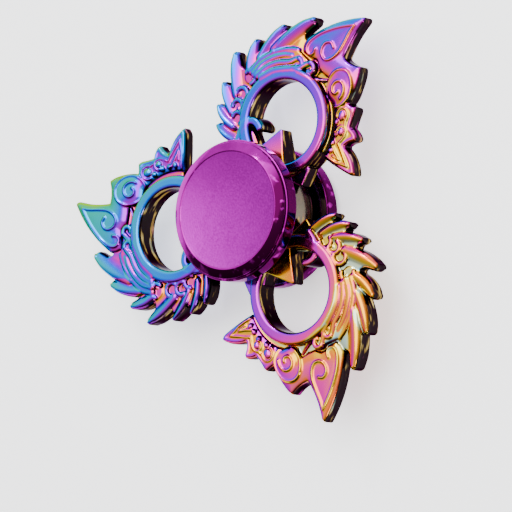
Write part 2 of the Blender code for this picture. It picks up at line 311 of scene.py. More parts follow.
# Raised lines on the blades
LEAF_LINE = smooth_curve(
    [(0.9, 26.9), (0.75, 26.1), (0.05, 25.75), (-0.65, 26.2), (-0.75, 27.1), (-0.2, 28.2), (1.0, 29.5)]
    + [(2.9, 30.9), (4.7, 31.9), (6.15, 32.55)]
)
LEAF_CURL = smooth_curve(
    [(6.15, 32.55), (5.75, 31.0), (5.5, 29.4), (5.1, 27.7), (4.3, 26.5), (3.3, 26.0), (2.35, 26.5)]
    + [(2.05, 27.5), (2.4, 28.4), (3.3, 28.75), (4.05, 28.2)]
)
DISC_CENTRE = np.array((7.45, 22.95))
DISC_R = 2.3
DISC_STRETCH = 1.26
DISC_LINE = spiral(DISC_CENTRE, DISC_R, DISC_R, -120, 215, DISC_STRETCH, 60)
DISC_CURL = spiral(DISC_CENTRE - (0.15, 0.25), 1.5, 0.45, -40, 330, 1.15)
LOOP_LINE = spiral((9.65, 19.35), 1.05, 1.05, -30, 205, 1.1, 24)
LOOP_TAIL = smooth_curve([(10.6, 18.9), (10.85, 18.1), (11.35, 17.3), (11.25, 16.3), (10.9, 15.6)], 5)
LOW_LOOP_LINE = spiral((10.55, 17.1), 0.85, 0.85, 20, 200, 1.0, 16)
CHEVRON_OUT = np.array([(10.8, 15.3), (12.2, 14.1), (13.7, 12.75), (11.5, 12.6), (9.3, 12.85)])
CHEVRON_IN = np.array([(9.8, 14.7), (10.9, 13.8), (12.0, 13.15), (10.6, 13.2)])
BLADE_LINES = (
    LEAF_LINE,
    LEAF_CURL,
    DISC_LINE,
    DISC_CURL,
    LOOP_LINE,
    LOOP_TAIL,
    LOW_LOOP_LINE,
    CHEVRON_OUT,
    CHEVRON_IN,
)
LINE_HEIGHT = 0.24
LINE_WIDTH = 0.19

# Raised ovals on the small blades: centre, and half sizes
BUMPS = (
    ((9.65, 19.35), 0.7, 0.82),
    ((10.55, 17.1), 0.55, 0.62),
    ((9.1, 18.1), 0.42, 0.5),
    ((9.75, 16.5), 0.48, 0.52),
    ((9.8, 15.1), 0.42, 0.42),
    ((9.85, 13.9), 0.5, 0.4),
)
BUMP_HEIGHT = 0.4

# Feathers' crests from root to tip, and half width
FEATHER_CRESTS = (
    ([(-6.1, 24.2), (-5.2, 25.8), (-4.2, 27.4), (-2.95, 29.1), (-1.75, 30.35)], 1.15),
    ([(-8.2, 22.3), (-7.8, 24.2), (-7.2, 26.1), (-6.55, 27.6)], 1.0),
    ([(-9.5, 20.1), (-10.05, 21.5), (-10.3, 22.9), (-10.35, 24.0)], 0.92),
    ([(-10.3, 15.9), (-11.6, 17.8), (-12.6, 19.6), (-13.2, 20.9)], 0.98),
    ([(-10.0, 13.0), (-11.4, 14.0), (-12.6, 15.1), (-13.45, 16.1)], 0.78),
    ([(-8.8, 11.1), (-10.4, 11.4), (-11.9, 12.0), (-12.9, 12.7)], 0.78),
    ([(-8.0, 9.3), (-9.4, 9.4), (-10.8, 9.7), (-11.8, 10.05)], 0.74),
)
FEATHER_HALF = 1.72

# Mane strands: points, half width at the start and end, half thickness at the start and end
STRANDS = (
    (
        [(-9.0, 19.8), (-8.4, 21.5), (-7.2, 23.0), (-5.4, 24.4), (-3.6, 25.3), (-2.2, 25.7)],
        (0.62, 0.34),
        (1.8, 1.5),
    ),
    (
        [(-8.2, 19.6), (-7.5, 21.4), (-6.0, 23.0), (-4.4, 24.0), (-2.9, 24.5)],
        (0.62, 0.4),
        (1.98, 1.6),
    ),
    (
        [(-7.5, 19.6), (-6.4, 21.3), (-4.8, 22.6), (-2.9, 23.4), (-2.0, 24.1), (-1.3, 24.6)],
        (0.6, 0.42),
        (2.02, 1.7),
    ),
    (
        [(-6.7, 19.6), (-5.0, 21.3), (-2.8, 22.4), (-0.9, 23.1), (0.1, 24.0), (0.9, 24.65)],
        (0.55, 0.45),
        (2.06, 1.7),
    ),
    (
        [(-1.6, 22.9), (1.0, 22.7), (3.0, 22.75), (4.7, 23.25)],
        (0.4, 0.2),
        (1.75, 1.3),
    ),
)

# Curls as a ridge round a pit: centre, radius at the start and end, start and end turns
CURLS = (
    ((-1.2, 23.75), 0.85, 0.5, 95, -120),
    ((1.15, 23.8), 0.9, 0.5, 105, -110),
    ((-9.0, 19.0), 1.2, 1.0, -50, 165),
    ((-9.3, 15.9), 1.15, 1.05, -45, 175),
    ((-9.4, 14.0), 1.15, 0.85, -25, 200),
    ((-8.6, 12.35), 1.05, 0.9, -30, 180),
)
CURL_WIDTH = 0.38
CURL_HALF = 1.85
PIT_HALF = 1.3
MANE_HALF = 1.52
BEADS = ((-1.2, 23.6), (1.15, 23.65), (-8.5, 18.85), (-9.1, 13.8))
BEAD_R = 0.26
BEAD_HALF = 1.45

# The hook inside the ring, the stem it grows from, the ear on the hub and the foot of the low blade
HOOK_PATH = smooth_curve(
    [(-6.9, 9.4), (-6.95, 11.0), (-6.6, 12.1), (-6.0, 12.8), (-5.3, 13.05), (-4.5, 12.9), (-3.9, 12.55)]
)
HOOK_R = 0.62
HOOK_HALF = 1.95
STEM = np.array(
    [(-7.2, 11.9), (-5.6, 11.8), (-4.6, 11.2), (-3.3, 10.0), (-2.6, 7.0), (-7.6, 7.0), (-7.6, 10.5)]
)
EAR_TIP_Y = 13.6
EAR = np.array([(4.0, 7.4), (0.05, EAR_TIP_Y), (-0.35, EAR_TIP_Y), (-4.0, 7.4)])
EAR_RISE = 0.13
EAR_RISE_LENGTH = 4
FOOT = np.array([(7.4, 10.2), (4.2, 10.4), (2.6, 9.0), (2.6, 7.0), (7.0, 7.0)])
ROOT_HALF = 1.2

# How far the film's colour is shifted on the web, in the curls' pits and on the stem, and on lines
WEB_TINT = 0.42
PIT_TINT = 0.3
LINE_TINT = 0.24

# The web's edge lies inside the wing's outline, and the web is thicker under the feathers, left of here
WEB_INSET = 0.4
WEB_LIFT = 0.5
FEATHER_SIDE_X = -1.7

# The blades' inner edge from the mane to the ring, where it follows the ring up to a turn about its centre
BLADES_INNER = [(-1.7, 26.6), (-1.4, 25.6), (-0.2, 25.3), (1.6, 25.3), (2.5, 24.2), (3.8, 23.8), (5.0, 23.6)]
BLADES_INNER += [(5.0, 22.0), (5.6, 20.8)]
BLADES_INNER_TURN = 38
BLADES_INNER_HEIGHT = 0.7
BLADE_SWELL = 0.4
DISC_LIFT = 0.14

# The small blades lie below a line that falls to the right of this point. They are lower, and have a rim.
SMALL_BLADES_FROM = (9, 20.9)
SMALL_BLADES_FALL = 0.25
SMALL_BLADES_DROP = 0.3
RIM_HEIGHT = 0.22

# A feather's taper along its crest, and how its crest falls off to the right and to the left
FEATHER_WIDTH = 1.22
FEATHER_NARROWING = 0.5
CREST_RIGHT_FALL = 0.42
CREST_LEFT_FALL = 0.5
FEATHER_LEAST_HALF = 0.8


def add_ring(relief):
    """The ring round the open hole."""
    centre = np.array((0, RING_Y))
    patch = Patch([centre - RING_EDGE_R, centre + RING_EDGE_R], margin=0.6)
    middle = (RING_HOLE_R + RING_EDGE_R) / 2
    away = np.abs(np.hypot(patch.x, patch.y - RING_Y) - middle)
    relief.tint(patch, away < RING_BAND / 2, 0.0)
    relief.add(patch, away - RING_BAND / 2, RING_HALF, rounding=0.55)


def ring_arc(first, last, height, count=24):
    """Points along the first ring, at one height over its edge."""
    return [from_ring(first + (last - first) * i / count, height) for i in range(count + 1)]


def add_web(relief):
    """The thin floor that every other feature stands on."""
    first = WING_START[0]
    last = FEATHERS[-1][1][0]
    inner = ring_arc(last, first, -RING_BAND / 2)
    outline = spikes_outline(from_ring(*WING_START), BLADES + FEATHERS, inner)
    patch = Patch(outline, margin=0.6)
    inside = blurred(patch.to_outline(outline), sigma=0.12)
    relief.tint(patch, inside < 1, WEB_TINT)
    under_feathers = below(patch.x - FEATHER_SIDE_X, blend=0.4)
    relief.add(patch, inside + WEB_INSET, WEB_HALF + WEB_LIFT * under_feathers, rounding=0.3)


def raised_ovals(patch):
    """How high the small blades' ovals stand, as a share of their full height."""
    bumps = np.zeros(patch.x.shape)
    for (x, y), wide, tall in BUMPS:
        away = np.hypot((patch.x - x) / wide, (patch.y - y) / tall)
        bumps = np.maximum(bumps, np.sqrt(np.clip(1 - away**2, 0, 1)))
    return bumps


def raised_lines(patch):
    """How high the blades' lines stand, as a share of their full height."""
    line = np.zeros(patch.x.shape)
    for path in BLADE_LINES:
        away, _, _ = patch.to_path(path)
        line = np.maximum(line, hump(away, LINE_WIDTH))
    return line


def add_blades(relief):
    """The bladed plate with its raised lines and ovals."""
    inner = BLADES_INNER + ring_arc(BLADES_INNER_TURN, WING_START[0], BLADES_INNER_HEIGHT, 48)
    outline = spikes_outline(from_ring(*WING_START), BLADES, inner)
    patch = Patch(outline, margin=0.6)
    inside = blurred(patch.to_outline(outline), sigma=0.13)
    depth = np.maximum(-inside, 0)
    from_inner, _, _ = patch.to_path(np.array(inner))
    disc = np.hypot(patch.x - DISC_CENTRE[0], (patch.y - DISC_CENTRE[1]) / DISC_STRETCH) - DISC_R
    line_x, line_y = SMALL_BLADES_FROM
    small_blades = below(patch.y - line_y + SMALL_BLADES_FALL * (patch.x - line_x), blend=0.3)
    bumps = raised_ovals(patch)
    lines = raised_lines(patch)
    rim = hump(depth - 0.4, 0.32) * np.clip(from_inner - 0.6, 0, 1)
    half = BLADE_HALF + BLADE_SWELL * (1 - np.exp(-depth / 0.7))
    half = half + DISC_LIFT * below(disc, blend=0.12)
    half = half - SMALL_BLADES_DROP * small_blades
    half = half + BUMP_HEIGHT * bumps + RIM_HEIGHT * rim * small_blades
    valley = np.clip((depth - 0.55) / 0.3, 0, 1) * (1 - np.clip(1.6 * bumps, 0, 1))
    recess = 0.28 * hump(from_inner, 1.5) * (1 - small_blades)
    recess = recess + (0.33 * valley - 0.07) * small_blades
    relief.tint(patch, inside < 0.1, np.maximum(recess, LINE_TINT * lines))
    relief.add(patch, inside, half + LINE_HEIGHT * lines, rounding=0.4, fillet=0.22)


def add_feathers(relief):
    """Seven leaves, each with a round crest left of its middle and a long slope to the right."""
    for points, width in FEATHER_CRESTS:
        path = smooth_curve(points)
        patch = Patch(path, margin=1.8)
        away, share, left = patch.to_path(path)
        reach = width * (FEATHER_WIDTH - FEATHER_NARROWING * np.clip((share - 0.4) / 0.6, 0, 1) ** 1.6)
        across = left / width
        right_fall = CREST_RIGHT_FALL * np.clip(0.35 - across, 0, 2) ** 1.4
        left_fall = CREST_LEFT_FALL * np.clip(across - 0.3, 0, 2) ** 2
        half = FEATHER_HALF - right_fall - left_fall - 0.25 * share**3
        slope = np.clip(0.2 - across, 0, 1.2)
        relief.tint(patch, away < reach + 0.15, 0.09 * (1 - share) ** 1.3 + 0.26 * slope)
        relief.add(patch, away - reach, np.maximum(half, FEATHER_LEAST_HALF), rounding=0.6, fillet=0.3)


def add_mane(relief):
    """The mane's base and its strands, each a half-round ridge."""
    mane = np.array(STRANDS[0][0] + STRANDS[3][0][::-1])
    patch = Patch(mane, margin=1.0)
    relief.add(patch, blurred(patch.to_outline(mane), sigma=0.15), MANE_HALF, rounding=0.3, fillet=0.25)
    for points, (wide_first, wide_last), (half_first, half_last) in STRANDS:
        path = smooth_curve(points)
        patch = Patch(path, margin=1.3)
        away, share, left = patch.to_path(path)
        width = wide_first + (wide_last - wide_first) * share
        half = half_first + (half_last - half_first) * share
        relief.tint(patch, away < width, 0.1 - 0.28 * left / width)
        relief.add(patch, away - width, half, rounding=0.42, fillet=0.1)


def add_curls(relief):
    """Curled ridges, each round a pit, and the beads."""
    for centre, first, last, start, end in CURLS:
        path = spiral(centre, first, last, start, end, 1.0, 24)
        patch = Patch(path, margin=1.0)
        away, share, _ = patch.to_path(path)
        pit_edge = np.hypot(patch.x - centre[0], patch.y - centre[1]) - first
        relief.tint(patch, pit_edge < 0, PIT_TINT)
        relief.add(patch, pit_edge, PIT_HALF, rounding=0.2, fillet=0.1)
        relief.tint(patch, away < CURL_WIDTH, 0.04)
        relief.add(patch, away - CURL_WIDTH, CURL_HALF - 0.2 * share, rounding=0.34, fillet=0.06)
    for bead in BEADS:
        patch = Patch([bead], margin=1.0)
        away = np.hypot(patch.x - bead[0], patch.y - bead[1])
        relief.add(patch, away - BEAD_R, BEAD_HALF, rounding=0.25, fillet=0.06)


def add_hook(relief):
    """The hook that curls into the ring's hole."""
    patch = Patch(HOOK_PATH, margin=1.4)
    away, _, left = patch.to_path(HOOK_PATH)
    relief.tint(patch, away < 0.7, -0.1 * left)
    relief.add(patch, away - HOOK_R, HOOK_HALF, rounding=0.42, fillet=0.12)


def add_roots(relief):
    """What stands on the hub: the hook's stem, the ear and the low blade's foot."""
    patch = Patch(STEM, margin=0.6)
    inside = blurred(patch.to_outline(STEM), sigma=0.12)
    relief.tint(patch, inside < 0.1, PIT_TINT)
    relief.add(patch, inside, ROOT_HALF, rounding=0.25)
    patch = Patch(EAR, margin=0.6)
    inside = patch.to_outline(EAR)
    from_tip = EAR_TIP_Y - patch.y
    relief.tint(patch, inside < 0.1, 0.08 + 0.04 * np.clip(from_tip, 0, 5) + 0.03 * patch.x)
    half = EAR_HALF + EAR_RISE * np.clip(from_tip, 0, EAR_RISE_LENGTH)
    relief.add(patch, inside, half, rounding=0.16, fillet=0.05)
    patch = Patch(FOOT, margin=0.6)
    relief.add(patch, blurred(patch.to_outline(FOOT), sigma=0.1), ROOT_HALF, rounding=0.2)


def carve_wing():
    """The first wing's field, with every feature on it, cut off where the hub takes over."""
    relief = Relief()
    add_web(relief)
    add_roots(relief)
    add_blades(relief)
    add_feathers(relief)
    add_ring(relief)
    add_mane(relief)
    add_curls(relief)
    add_hook(relief)
    whole = Patch([GRID_LOW[:2], GRID_HIGH[:2]], margin=0)
    relief.cut(whole, ROOT_R - np.hypot(whole.x, whole.y))
    return relief


CORNERS = [(i, j, k) for i in (0, 1) for j in (0, 1) for k in (0, 1)]


def surface_net(field):
    """Points and quads of the field's zero level, in grid cells: one point in each cell that it crosses."""
    solid = field < 0
    cells = np.array(field.shape) - 1
    count = np.zeros(cells, np.int8)
    for i, j, k in CORNERS:
        count += solid[i : i + cells[0], j : j + cells[1], k : k + cells[2]]
    active = (count > 0) & (count < 8)
    places = np.argwhere(active)
    index = np.full(cells, -1, np.int64)
    index[active] = np.arange(len(places))
    total = np.zeros((len(places), 3))
    hits = np.zeros(len(places))
    for corner in CORNERS:
        for axis in range(3):
            if corner[axis]:
                continue
            start = places + corner
            end = start.copy()
            end[:, axis] += 1
            a = field[tuple(start.T)]
            b = field[tuple(end.T)]
            crossed = (a < 0) != (b < 0)
            point = np.array(corner, float) + np.zeros((len(places), 3))
            point[:, axis] += np.where(crossed, a / np.where(crossed, a - b, 1), 0)
            total += point * crossed[:, None]
            hits += crossed
    points = places + total / hits[:, None]
    quads = []
    for axis in range(3):
        u, v = (axis + 1) % 3, (axis + 2) % 3
        here = [slice(0, n) for n in field.shape]
        there = [slice(0, n) for n in field.shape]
        here[axis] = slice(0, -1)
        there[axis] = slice(1, None)
        for side in (u, v):
            here[side] = slice(1, -1)
            there[side] = slice(1, -1)
        low_solid = solid[tuple(here)]
        changed = low_solid != solid[tuple(there)]
        at = np.argwhere(changed)
        flip = low_solid[changed]
        at[:, u] += 1
        at[:, v] += 1
        ring = []
        for du, dv in ((0, 0), (-1, 0), (-1, -1), (0, -1)):
            cell = at.copy()
            cell[:, u] += du
            cell[:, v] += dv
            ring.append(index[tuple(cell.T)])
        face = np.stack(ring, axis=1)
        quads.append(np.where(flip[:, None], face, face[:, ::-1]))
    return points, np.vstack(quads)


def smooth_mesh(name, points, faces):
    """A mesh shaded smooth all over."""
    mesh = bpy.data.meshes.new(name)
    mesh.from_pydata(points.tolist(), [], faces.tolist())
    mesh.shade_smooth()
    mesh.update()
    return mesh


def turned_mesh(name, profile, finishes, segments):
    """Turns a closed outline of (radius, height) points about Z, with a material index for each edge."""
    profile = np.array(profile)
    count = len(profile)
    turns = 2 * math.pi * np.arange(segments) / segments
    rings = np.stack(
        [
            np.outer(profile[:, 0], np.cos(turns)),
            np.outer(profile[:, 0], np.sin(turns)),
            np.repeat(profile[:, 1:], segments, axis=1),
        ],
        axis=2,
    )
    faces = []
    indices = []
    for edge in range(count):
        after = (edge + 1) % count
        if profile[edge, 0] == 0 and profile[after, 0] == 0:
            continue
        for i in range(segments):
            j = (i + 1) % segments
            face = [edge * segments + i, edge * segments + j, after * segments + j, after * segments + i]
            if profile[edge, 0] == 0:
                face = [edge * segments, face[2], face[3]]
            elif profile[after, 0] == 0:
                face = [face[0], face[1], after * segments]
            faces.append(face)
            indices.append(finishes[edge])
    mesh = bpy.data.meshes.new(name)
    mesh.from_pydata((rings.reshape(-1, 3) * MM).tolist(), [], faces)
    mesh.polygons.foreach_set("material_index", indices)
    tool = bmesh.new()
    tool.from_mesh(mesh)
    bmesh.ops.delete(tool, geom=[v for v in tool.verts if not v.link_faces], context="VERTS")
    bmesh.ops.recalc_face_normals(tool, faces=tool.faces)
    tool.to_mesh(mesh)
    tool.free()
    mesh.shade_smooth()
    mesh.set_sharp_from_angle(angle=SHARP_ANGLE)
    return mesh


def add_piece(name, mesh, materials, body, replaced):
    """A visible piece that rides a body and stands for the CAD nodes it replaced."""
    piece = bpy.data.objects.new(name, mesh)
    bpy.context.scene.collection.objects.link(piece)
    for material in materials:
        mesh.materials.append(material)
    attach(piece, body)
    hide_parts(*replaced)


def wing_pieces(material):
    """One carved wing in its three places, with the film's shift stored at each point."""
    relief = carve_wing()
    points, quads = surface_net(relief.field)
    cell = np.minimum(points[:, :2].astype(int), np.array(relief.shift.shape) - 1)
    shift = blurred(relief.shift, sigma=0.1)[cell[:, 0], cell[:, 1]]
    points = (np.array(GRID_LOW) + points * GRID_STEP) * MM
    for arm in range(ARM_COUNT):
        turn = 2 * math.pi * arm / ARM_COUNT
        c, s = math.cos(turn), math.sin(turn)
        turned = points @ np.array([[c, s, 0], [-s, c, 0], [0, 0, 1]])
        mesh = smooth_mesh(f"wing_{arm + 1}", turned, quads)
        layer = mesh.attributes.new("shift", "FLOAT", "POINT")
        layer.data.foreach_set("value", shift.astype(np.float32))
        add_piece(f"wing_{arm + 1}", mesh, [material], "rotor", ["rotor_body"])


def arc(centre, radii, start, end, steps):
    """Points on an ellipse's arc about centre, between two turns in degrees."""
    turns = np.radians(np.linspace(start, end, steps))
    return [(centre[0] + radii[0] * math.cos(a), centre[1] + radii[1] * math.sin(a)) for a in turns]


def hub_piece(material):
    """The casting's hub: a rounded drum bored for the bearing and its lock ring, with a lip below."""
    corner_r = HUB_R - HUB_ROUND
    corner_z = HUB_HALF - HUB_ROUND
    seat_r = BEARING_R + SEAT_GAP
    seat_low = -BEARING_HALF - SEAT_GAP
    profile = arc((corner_r, -corner_z), (HUB_ROUND, HUB_ROUND), -90, 0, 6)
    profile += arc((corner_r, corner_z), (HUB_ROUND, HUB_ROUND), 0, 90, 6)
    profile += [(LOCK_POCKET_R + POCKET_CHAMFER, HUB_HALF), (LOCK_POCKET_R, HUB_HALF - POCKET_CHAMFER)]
    profile += [(LOCK_POCKET_R, BEARING_HALF), (seat_r, BEARING_HALF), (seat_r, seat_low)]
    profile += [(LIP_R, seat_low), (LIP_R, -HUB_HALF + LIP_CHAMFER), (LIP_R + LIP_CHAMFER, -HUB_HALF)]
    mesh = turned_mesh("hub", profile, [0] * len(profile), HUB_SEGMENTS)
    add_piece("hub", mesh, [material], "rotor", ["rotor_body"])


def cap_profile():
    """The front cap's outline, from its dish's middle over the rim and along its post, with finishes."""
    floor = CAP_TOP - CAP_HEIGHT
    dish_r = CAP_R - RIDGE_INSET - RIDGE_LAND / 2
    dish_top = CAP_TOP - DISH_LIP
    dish = [(dish_r * t, dish_top - DISH_DEPTH * (1 - t * t)) for t in np.linspace(0, 1, DISH_STEPS)]
    step_r = CAP_R - STEP_INSET
    step_z = floor + STEP_HEIGHT
    brow = RIDGE_LAND / 2
    slope_r = step_r - SLOPE_DEPTH
    shoulder = arc((dish_r + brow, CAP_TOP - brow), (brow, brow), 110, SLOPE_TURN, 8)
    shoulder += arc((slope_r, step_z + 0.1), (step_r - slope_r, 0.2), SLOPE_TURN, 5, 6)
    ridge = [(dish_r + 0.05, CAP_TOP - 0.03)]
    wall = [(step_r, step_z - 0.12), (step_r + 0.07, step_z - 0.2), (CAP_R - 0.12, step_z - 0.24)]
    wall += [(CAP_R, step_z - 0.4), (CAP_R, floor + CAP_ROUND + 0.1)]
    wall += arc((CAP_R - CAP_ROUND, floor + CAP_ROUND), (CAP_ROUND, CAP_ROUND), -10, -90, 7)
    post_r = WASHER_R - POST_INSET
    post_low = WASHER_TOP + SEAT_GAP
    bore_r = STUD_R + STUD_GAP
    bore_top = STUD_TOP + STUD_GAP * 2
    inside = [(CAP_R - 1.2, floor), (CAP_R - 1.35, floor + UNDERCUT)]
    inside += [(WASHER_R + 0.4, floor + UNDERCUT), (WASHER_R, floor), (WASHER_R, post_low)]
    inside += [(post_r, post_low), (post_r, POST_END + POST_CHAMFER), (post_r - POST_CHAMFER, POST_END)]
    inside += [(bore_r, POST_END), (bore_r, bore_top), (0, bore_top)]
    profile = dish + ridge + shoulder + wall + inside
    finishes = [0] * (len(dish) - 1) + [1] * (len(ridge) + len(shoulder) + len(wall))
    finishes += [2] * (len(profile) - len(finishes))
    return profile, finishes


def cap_pieces(materials):
    """Both caps, the rear one mirrored."""
    profile, finishes = cap_profile()
    mirrored = [(radius, -height) for radius, height in profile]
    for name, outline in (("front_cap", profile), ("rear_cap", mirrored)):
        mesh = turned_mesh(name + "_turned", outline, finishes, CAP_SEGMENTS)
        add_piece(name + "_turned", mesh, materials, "core", [name])


# ---------------------------------------------------------------- materials


class Shader:
    """A small helper that adds nodes to a new material and links them."""

    def __init__(self, name, **sockets):
        self.material = bpy.data.materials.new(name)
        self.material.use_nodes = True
        self.tree = self.material.node_tree
        self.principled = self.tree.nodes["Principled BSDF"]
        for socket, value in sockets.items():
            self.principled.inputs[socket.replace("_", " ")].default_value = value

    def node(self, kind, inputs=None, **settings):
        made = self.tree.nodes.new(kind)
        for key, value in settings.items():
            setattr(made, key, value)
        for key, value in (inputs or {}).items():
            if isinstance(value, bpy.types.NodeSocket):
                self.tree.links.new(value, made.inputs[key])
            else:
                made.inputs[key].default_value = value
        return made

    def noise(self, vector, scale, detail):
        inputs = {"Vector": vector, "Scale": scale, "Detail": detail}
        return self.node("ShaderNodeTexNoise", inputs).outputs["Fac"]

    def axes(self, vector):
        """A vector's X, Y and Z."""
        return self.node("ShaderNodeSeparateXYZ", {0: vector}).outputs

    def math(self, operation, a, b=0.0, c=0.0):
        return self.node("ShaderNodeMath", {0: a, 1: b, 2: c}, operation=operation).outputs[0]

    def scaled(self, value, low, high, to_low=0.0, to_high=1.0):
        inputs = {"Value": value, 1: low, 2: high, 3: to_low, 4: to_high}
        return self.node("ShaderNodeMapRange", inputs).outputs[0]

    def mix(self, share, a, b):
        """Two colours mixed. A colour mix has its sockets at these places."""
        return self.node("ShaderNodeMix", {0: share, 6: a, 7: b}, data_type="RGBA").outputs[2]

    def ramp(self, value, stops):
        made = self.node("ShaderNodeValToRGB", {"Fac": value})
        elements = made.color_ramp.elements
        while len(elements) < len(stops):
            elements.new(0.5)
        for element, (place, colour) in zip(elements, stops):
            element.position = place
            element.color = (*colour, 1)
        return made.outputs[0]

    def link(self, output, socket):
        self.tree.links.new(output, self.principled.inputs[socket])

    def bumpy(self, height, strength, distance):
        inputs = {"Height": height, "Strength": strength, "Distance": distance}
        self.link(self.node("ShaderNodeBump", inputs).outputs[0], "Normal")


def srgb(red, green, blue):
    """A linear colour from 8-bit display values."""
    values = []
    for value in (red, green, blue):
        share = value / 255
        values.append(share / 12.92 if share <= 0.04045 else ((share + 0.055) / 1.055) ** 2.4)
    return tuple(values)


# The film's colours along its phase, and how the phase runs across the casting, in metres from its axis
FILM_STOPS = (
    (0.0, (0.20, 0.45, 0.0)),
    (0.09, (0.0, 0.36, 0.19)),
    (0.18, (0.0, 0.34, 0.36)),
    (0.28, (0.0, 0.24, 0.57)),
    (0.38, (0.0, 0.10, 0.68)),
    (0.47, (0.14, 0.0, 0.66)),
    (0.56, (0.34, 0.0, 0.48)),
    (0.67, (0.66, 0.02, 0.28)),
    (0.76, (0.78, 0.14, 0.02)),
    (0.85, (0.70, 0.33, 0.0)),
    (0.95, (0.68, 0.47, 0.02)),
    (1.06, (0.52, 0.58, 0.34)),
    (1.2, (0.24, 0.47, 0.55)),
)
FILM_END = FILM_STOPS[-1][0]
FILM_COLOURS = [(place / FILM_END, colour) for place, colour in FILM_STOPS]
PHASE_AT_AXIS = 0.47
PHASE_PER_X = 11.5
PHASE_PER_Y_SQUARED = -60.0
PHASE_PER_X_Y = 110.0

# How the phase follows the surface's slope, with the slope to the sides kept between two limits
SLOPE_SHARE_X = 0.55
SLOPE_SHARE_Y = -0.14
SLOPE_LEAST = -0.24
SLOPE_MOST = 0.08
UNEVENNESS = 0.14

# The casting's steep walls show a wall colour in place of the film, dark on the wings as painted shade, with
# painted glints in streaks of these colours, which are denser near its faces
PAINTED_GLINT_COLOURS = (
    (0.35, (0.30, 0.02, 0.20)),
    (0.45, (0.42, 0.26, 0.05)),
    (0.6, (0.50, 0.36, 0.10)),
    (0.7, (0.02, 0.14, 0.18)),
)
GLINT_STREAK_SCALE = (260, 260, 1500)
GLINT_STREAK_LIMITS = (0.57, 0.72)
FACE_HEIGHTS = (0.9 * MM, 1.9 * MM)
FACE_PAINTED_GLINT = 0.12
WALL_SHADE_LIMITS = (0.18, 0.62)
WALL_SHADE_LEAN = -0.3
WING_WALL_SHADE = (0.012, 0.008, 0.009)
HUB_WALL = (0.13, 0.115, 0.085)

# The darker and brighter ends of a grain noise, between which roughness runs
GRAIN_LIMITS = (0.3, 0.7)


def film_phase(shader, at, facing, noise):
    """The film's phase, from the place on the casting, its slope and the shift that its relief stores."""
    phase = shader.math("MULTIPLY_ADD", at["X"], PHASE_PER_X, PHASE_AT_AXIS)
    y_squared = shader.math("MULTIPLY", at["Y"], at["Y"])
    phase = shader.math("MULTIPLY_ADD", y_squared, PHASE_PER_Y_SQUARED, phase)
    x_y = shader.math("MULTIPLY", at["X"], at["Y"])
    phase = shader.math("MULTIPLY_ADD", x_y, PHASE_PER_X_Y, phase)
    lean = shader.math("MINIMUM", shader.math("MULTIPLY", facing["X"], SLOPE_SHARE_X), SLOPE_MOST)
    phase = shader.math("ADD", shader.math("MAXIMUM", lean, SLOPE_LEAST), phase)
    phase = shader.math("MULTIPLY_ADD", facing["Y"], SLOPE_SHARE_Y, phase)
    shift = shader.node("ShaderNodeAttribute", attribute_name="shift").outputs["Fac"]
    phase = shader.math("ADD", phase, shift)
    return shader.math("MULTIPLY_ADD", shader.math("SUBTRACT", noise, 0.5), UNEVENNESS, phase)


def wall_shade_and_glints(shader, place, at, wall_colour):
    """Painted shade on the casting's sides in the wall colour, with painted glints in streaks that gather
    near its faces.
    """
    stretch = shader.node("ShaderNodeMapping", {"Vector": place, "Scale": GLINT_STREAK_SCALE}).outputs[0]
    # Painted glints: streaks of bright colours, denser towards the faces.
    rim = shader.scaled(shader.math("ABSOLUTE", at["Z"]), *FACE_HEIGHTS, 0.0, FACE_PAINTED_GLINT)
    glint_streak = shader.math("ADD", shader.noise(stretch, 1.0, 3.0), rim)
    painted_glints = shader.ramp(shader.noise(place, 210.0, 1.0), PAINTED_GLINT_COLOURS)
    return shader.mix(shader.scaled(glint_streak, *GLINT_STREAK_LIMITS), (*wall_colour, 1), painted_glints)


def rainbow_zinc(name, wall_colour):
    """Polished zinc under an interference film whose colour shifts across the casting and with the slope,
    with painted shade on its steep sides.
    """
    shader = Shader(name, Metallic=1.0, Specular_Tint=(0.45, 0.4, 0.45, 1))
    coordinates = shader.node("ShaderNodeTexCoord").outputs
    place = coordinates["Object"]
    at = shader.axes(place)
    facing = shader.axes(coordinates["Normal"])
    phase = film_phase(shader, at, facing, shader.noise(place, 150.0, 2.0))
    film = shader.ramp(shader.math("DIVIDE", phase, FILM_END), FILM_COLOURS)
    wall = wall_shade_and_glints(shader, place, at, wall_colour)
    # Painted shade: steep faces, most of all those leaning to +X, take the wall colour in place of the film.
    flat = shader.math("ABSOLUTE", facing["Z"])
    lit_share = shader.math("MULTIPLY_ADD", shader.math("MAXIMUM", facing["X"], 0.0), WALL_SHADE_LEAN, flat)
    shader.link(shader.mix(shader.scaled(lit_share, *WALL_SHADE_LIMITS), wall, film), "Base Color")
    grain = shader.noise(place, 900.0, 4.0)
    shader.link(shader.scaled(grain, *GRAIN_LIMITS, 0.1, 0.18), "Roughness")
    shader.bumpy(grain, 0.06, 0.00005)
    return shader.material


SATIN = {
    "colour": (0.35, 0.0, 0.34),
    "shaded_side_colour": (0.18, 0.0, 0.17),
    "roughness": 0.36,
    "grain_depth": 0.35,
    "grain_scale": 3200.0,
    "painted_glint_share": 0.0,
}
POLISHED = {
    "colour": (0.32, 0.0, 0.28),
    "shaded_side_colour": (0.035, 0.0, 0.022),
    "roughness": 0.1,
    "grain_depth": 0.05,
    "grain_scale": 500.0,
    "painted_glint_share": 0.8,
}
CAP_INSIDE = {
    "colour": (0.09, 0.06, 0.07),
    "shaded_side_colour": (0.03, 0.02, 0.025),
    "roughness": 0.16,
    "grain_depth": 0.1,
    "grain_scale": 500.0,
    "painted_glint_share": 0.5,
}
